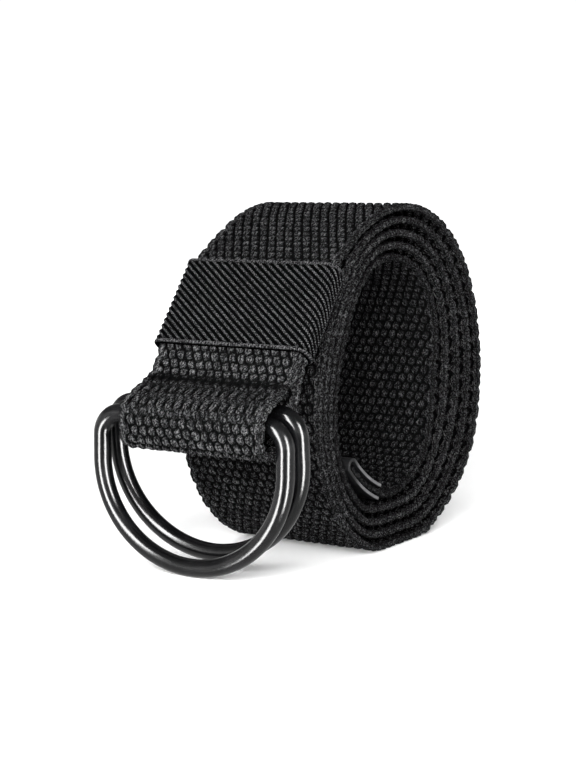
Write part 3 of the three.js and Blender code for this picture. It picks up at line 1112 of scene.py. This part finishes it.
class BELT_OT_tip(bpy.types.Operator):
    """Fold the metal tip over the strap's free end"""

    bl_idname = "belt.tip"
    bl_label = "End tip"

    def execute(self, context):
        settings = context.scene.belt_tip
        piece = shown("end_tip_plate", folded_plate(settings), satin_finish(settings))
        modify(piece, "plate", "SOLIDIFY", thickness=TIP_PLATE, offset=0)
        modify(
            piece, "broken edge", "BEVEL", width=settings.break_edge, segments=2,
            limit_method="ANGLE", angle_limit=math.radians(50),
        )
        finished(piece)
        fit(piece, "belt", "tip_metal", "end_tip")
        return {"FINISHED"}


class BELT_OT_stage(bpy.types.Operator):
    """Set the pale floor, the studio light and the camera"""

    bl_idname = "belt.stage"
    bl_label = "Stage"

    def execute(self, context):
        settings = context.scene.belt_stage
        scene = context.scene
        scene.view_settings.view_transform = "Standard"
        finish = Finish("pale_floor", Roughness=0.9, Specular_IOR_Level=0.0, Emission_Strength=1.0)
        place = finish.node("TexCoord").outputs["Object"]
        away = finish.number(finish.node("VectorMath", {"operation": "LENGTH"}, Vector=place), "Value")
        lit = settings.lit_floor
        glow = finish.between(away, 0.2 * lit, 2 * lit, FLOOR_GLOW, 1)
        bm = bmesh.new()
        bmesh.ops.create_circle(bm, cap_ends=True, radius=settings.reach, segments=64)
        floor = shown("floor", bm, finish.surface(
            Base_Color=settings.floor[:], Emission_Color=finish.blend(glow, BLACK, WHITE),
        ))
        floor.visible_glossy = False
        self.camera(scene)
        self.world(scene)
        self.lamps(scene)
        return {"FINISHED"}

    def camera(self, scene):
        camera = bpy.data.cameras.new("photograph")
        camera.sensor_fit = "VERTICAL"
        camera.lens = FOCAL_PIXELS / FRAME_HEIGHT * camera.sensor_height
        camera.clip_start = 0.01
        back = -Vector(LOOK).normalized()
        right = Vector((0, 0, 1)).cross(back).normalized()
        level = Matrix((right, back.cross(right), back)).transposed().to_4x4()
        turned = level @ Matrix.Rotation(math.radians(CAMERA_ROLL), 4, "Z")
        view = bpy.data.objects.new("photograph", camera)
        view.matrix_world = Matrix.Translation(EYE) @ turned
        scene.collection.objects.link(view)
        scene.camera = view

    def world(self, scene):
        """The sky, pale round the horizon and dimmer overhead."""
        world = bpy.data.worlds.new("studio")
        world.use_nodes = True
        sky = Shading(world.node_tree)
        toward = sky.node("TexCoord").outputs["Generated"]
        up = sky.split(toward)[2]
        front = sky.node("VectorMath", {"operation": "DOT_PRODUCT"}, Vector=toward)
        front.inputs[1].default_value = (-LOOK[0], -LOOK[1], 0)
        below = sky.between(sky.number(front, "Value"), 0.74, 0.93, BELOW_ASIDE, BELOW_AHEAD)
        above = sky.between(up, 0.10, 0.35, SKY_LOW, SKY_HIGH)
        light = below + (above - below) * sky.between(up, -0.05, -0.02)
        background = next(n for n in sky.nodes if n.type == "BACKGROUND")
        background.inputs["Color"].default_value = WHITE
        sky.feed(background.inputs["Strength"], light)
        scene.world = world

    def lamps(self, scene):
        """Soft boxes that light the belt, and tall strips that show only as gloss on the metal."""
        for box in SOFT_BOXES:
            made = self.lamp(scene, box.name, Vector(box.place), box.size, box.watts)
            made.visible_glossy = False
        for name, azimuth in STRIPS:
            x, y = STRIP_AWAY * heading(azimuth)
            place = Vector(RINGS[0].bar) + Vector((x, y, 0))
            strip = self.lamp(scene, name, place, STRIP_SIZE, STRIP_WATTS)
            strip.visible_diffuse = False

    def lamp(self, scene, name, place, size, watts):
        """A lit rectangle that faces the front ring."""
        light = bpy.data.lights.new(name, "AREA")
        light.shape = "RECTANGLE"
        light.size, light.size_y = size
        light.energy = watts
        lamp = bpy.data.objects.new(name, light)
        aim = Vector(RINGS[0].bar) - place
        turned = aim.to_track_quat("-Z", "Y").to_matrix().to_4x4()
        lamp.matrix_world = Matrix.Translation(place) @ turned
        lamp.visible_camera = False
        scene.collection.objects.link(lamp)
        return lamp


OPERATORS = (BELT_OT_stage, BELT_OT_webbing, BELT_OT_band, BELT_OT_rings, BELT_OT_tip)


class BELT_PT_panel(bpy.types.Panel):
    """The belt's pieces, in the order in which they are made"""

    bl_idname = "BELT_PT_panel"
    bl_label = "D-ring belt"
    bl_space_type = "VIEW_3D"
    bl_region_type = "UI"
    bl_category = "Belt"

    def draw(self, context):
        for operator in OPERATORS:
            self.layout.operator(operator.bl_idname)


CLASSES = (*SETTINGS.values(), *OPERATORS, BELT_PT_panel)


def register():
    for made in CLASSES:
        bpy.utils.register_class(made)
    for name, group in SETTINGS.items():
        setattr(bpy.types.Scene, name, bpy.props.PointerProperty(type=group))


def unregister():
    for name in SETTINGS:
        delattr(bpy.types.Scene, name)
    for made in reversed(CLASSES):
        bpy.utils.unregister_class(made)


def main():
    register()
    for operator in OPERATORS:
        group, name = operator.bl_idname.split(".")
        getattr(getattr(bpy.ops, group), name)()


if __name__ == "__main__":
    main()
